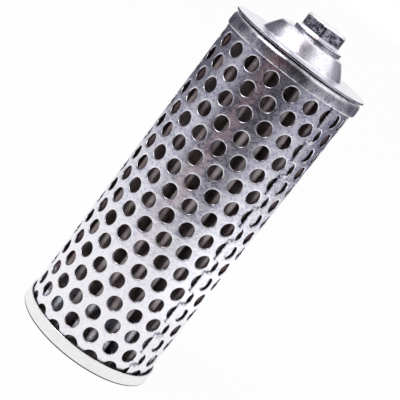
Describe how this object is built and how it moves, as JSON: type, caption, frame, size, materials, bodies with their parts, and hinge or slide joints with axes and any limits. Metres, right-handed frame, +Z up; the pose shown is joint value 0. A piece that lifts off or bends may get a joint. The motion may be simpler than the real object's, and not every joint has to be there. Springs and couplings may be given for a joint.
{
  "type": "hydraulic filter",
  "caption": "Cylindrical hydraulic return filter element: pleated pack in a perforated steel sleeve, pressed end caps, inlet bore below and a sprung bypass valve under a bolted dome.",
  "frame": {"origin": "on the axis, at the underside of the bottom end cap, where the element stands", "axes": "+Z up the axis towards the bolt head, -Y the front, seen in the picture"},
  "size_m": [0.0604, 0.0604, 0.1575],
  "materials": {
    "pressed_cap": "tinned, satin",
    "perforated_steel": "galvanised, soft spangle",
    "glass_fibre_media": "matt",
    "woven_mesh": "woven wire",
    "zinc_steel": "zinc plated",
    "potting_resin": "cured resin",
    "nitrile_rubber": "matt",
    "cover_steel": "zinc plated, smooth",
    "bolt_steel": "zinc plated, dull",
    "bare_aluminium": "turned",
    "spring_steel": "drawn wire"
  },
  "bodies": {
    "element": {"bottom_end_cap": "pressed_cap", "top_end_cap": "pressed_cap", "outer_sleeve": "perforated_steel", "core_tube": "perforated_steel", "filter_media": "glass_fibre_media", "outer_support_mesh": "woven_mesh", "inner_support_mesh": "woven_mesh", "pleat_seam_clip": "zinc_steel", "bottom_resin": "potting_resin", "top_resin": "potting_resin", "inlet_seal": "nitrile_rubber", "valve_cover": "cover_steel", "cover_washer": "zinc_steel", "cover_bolt": "bolt_steel", "upper_spring_seat": "zinc_steel", "guide_sleeve": "zinc_steel", "valve_spider": "zinc_steel", "split_washer": "bolt_steel", "lock_nut": "bolt_steel", "bypass_spring": "spring_steel"},
    "poppet": {"bypass_poppet": "bare_aluminium", "poppet_seal": "nitrile_rubber"}
  },
  "joints": [
    {"name": "bypass_lift", "type": "slide", "parent": "element", "child": "poppet", "axis": [0, 0, 1], "range_m": [0, 0.005], "stiffness_N_per_m": 1400, "springref_m": -0.01, "deforming": ["bypass_spring"]}
  ]
}
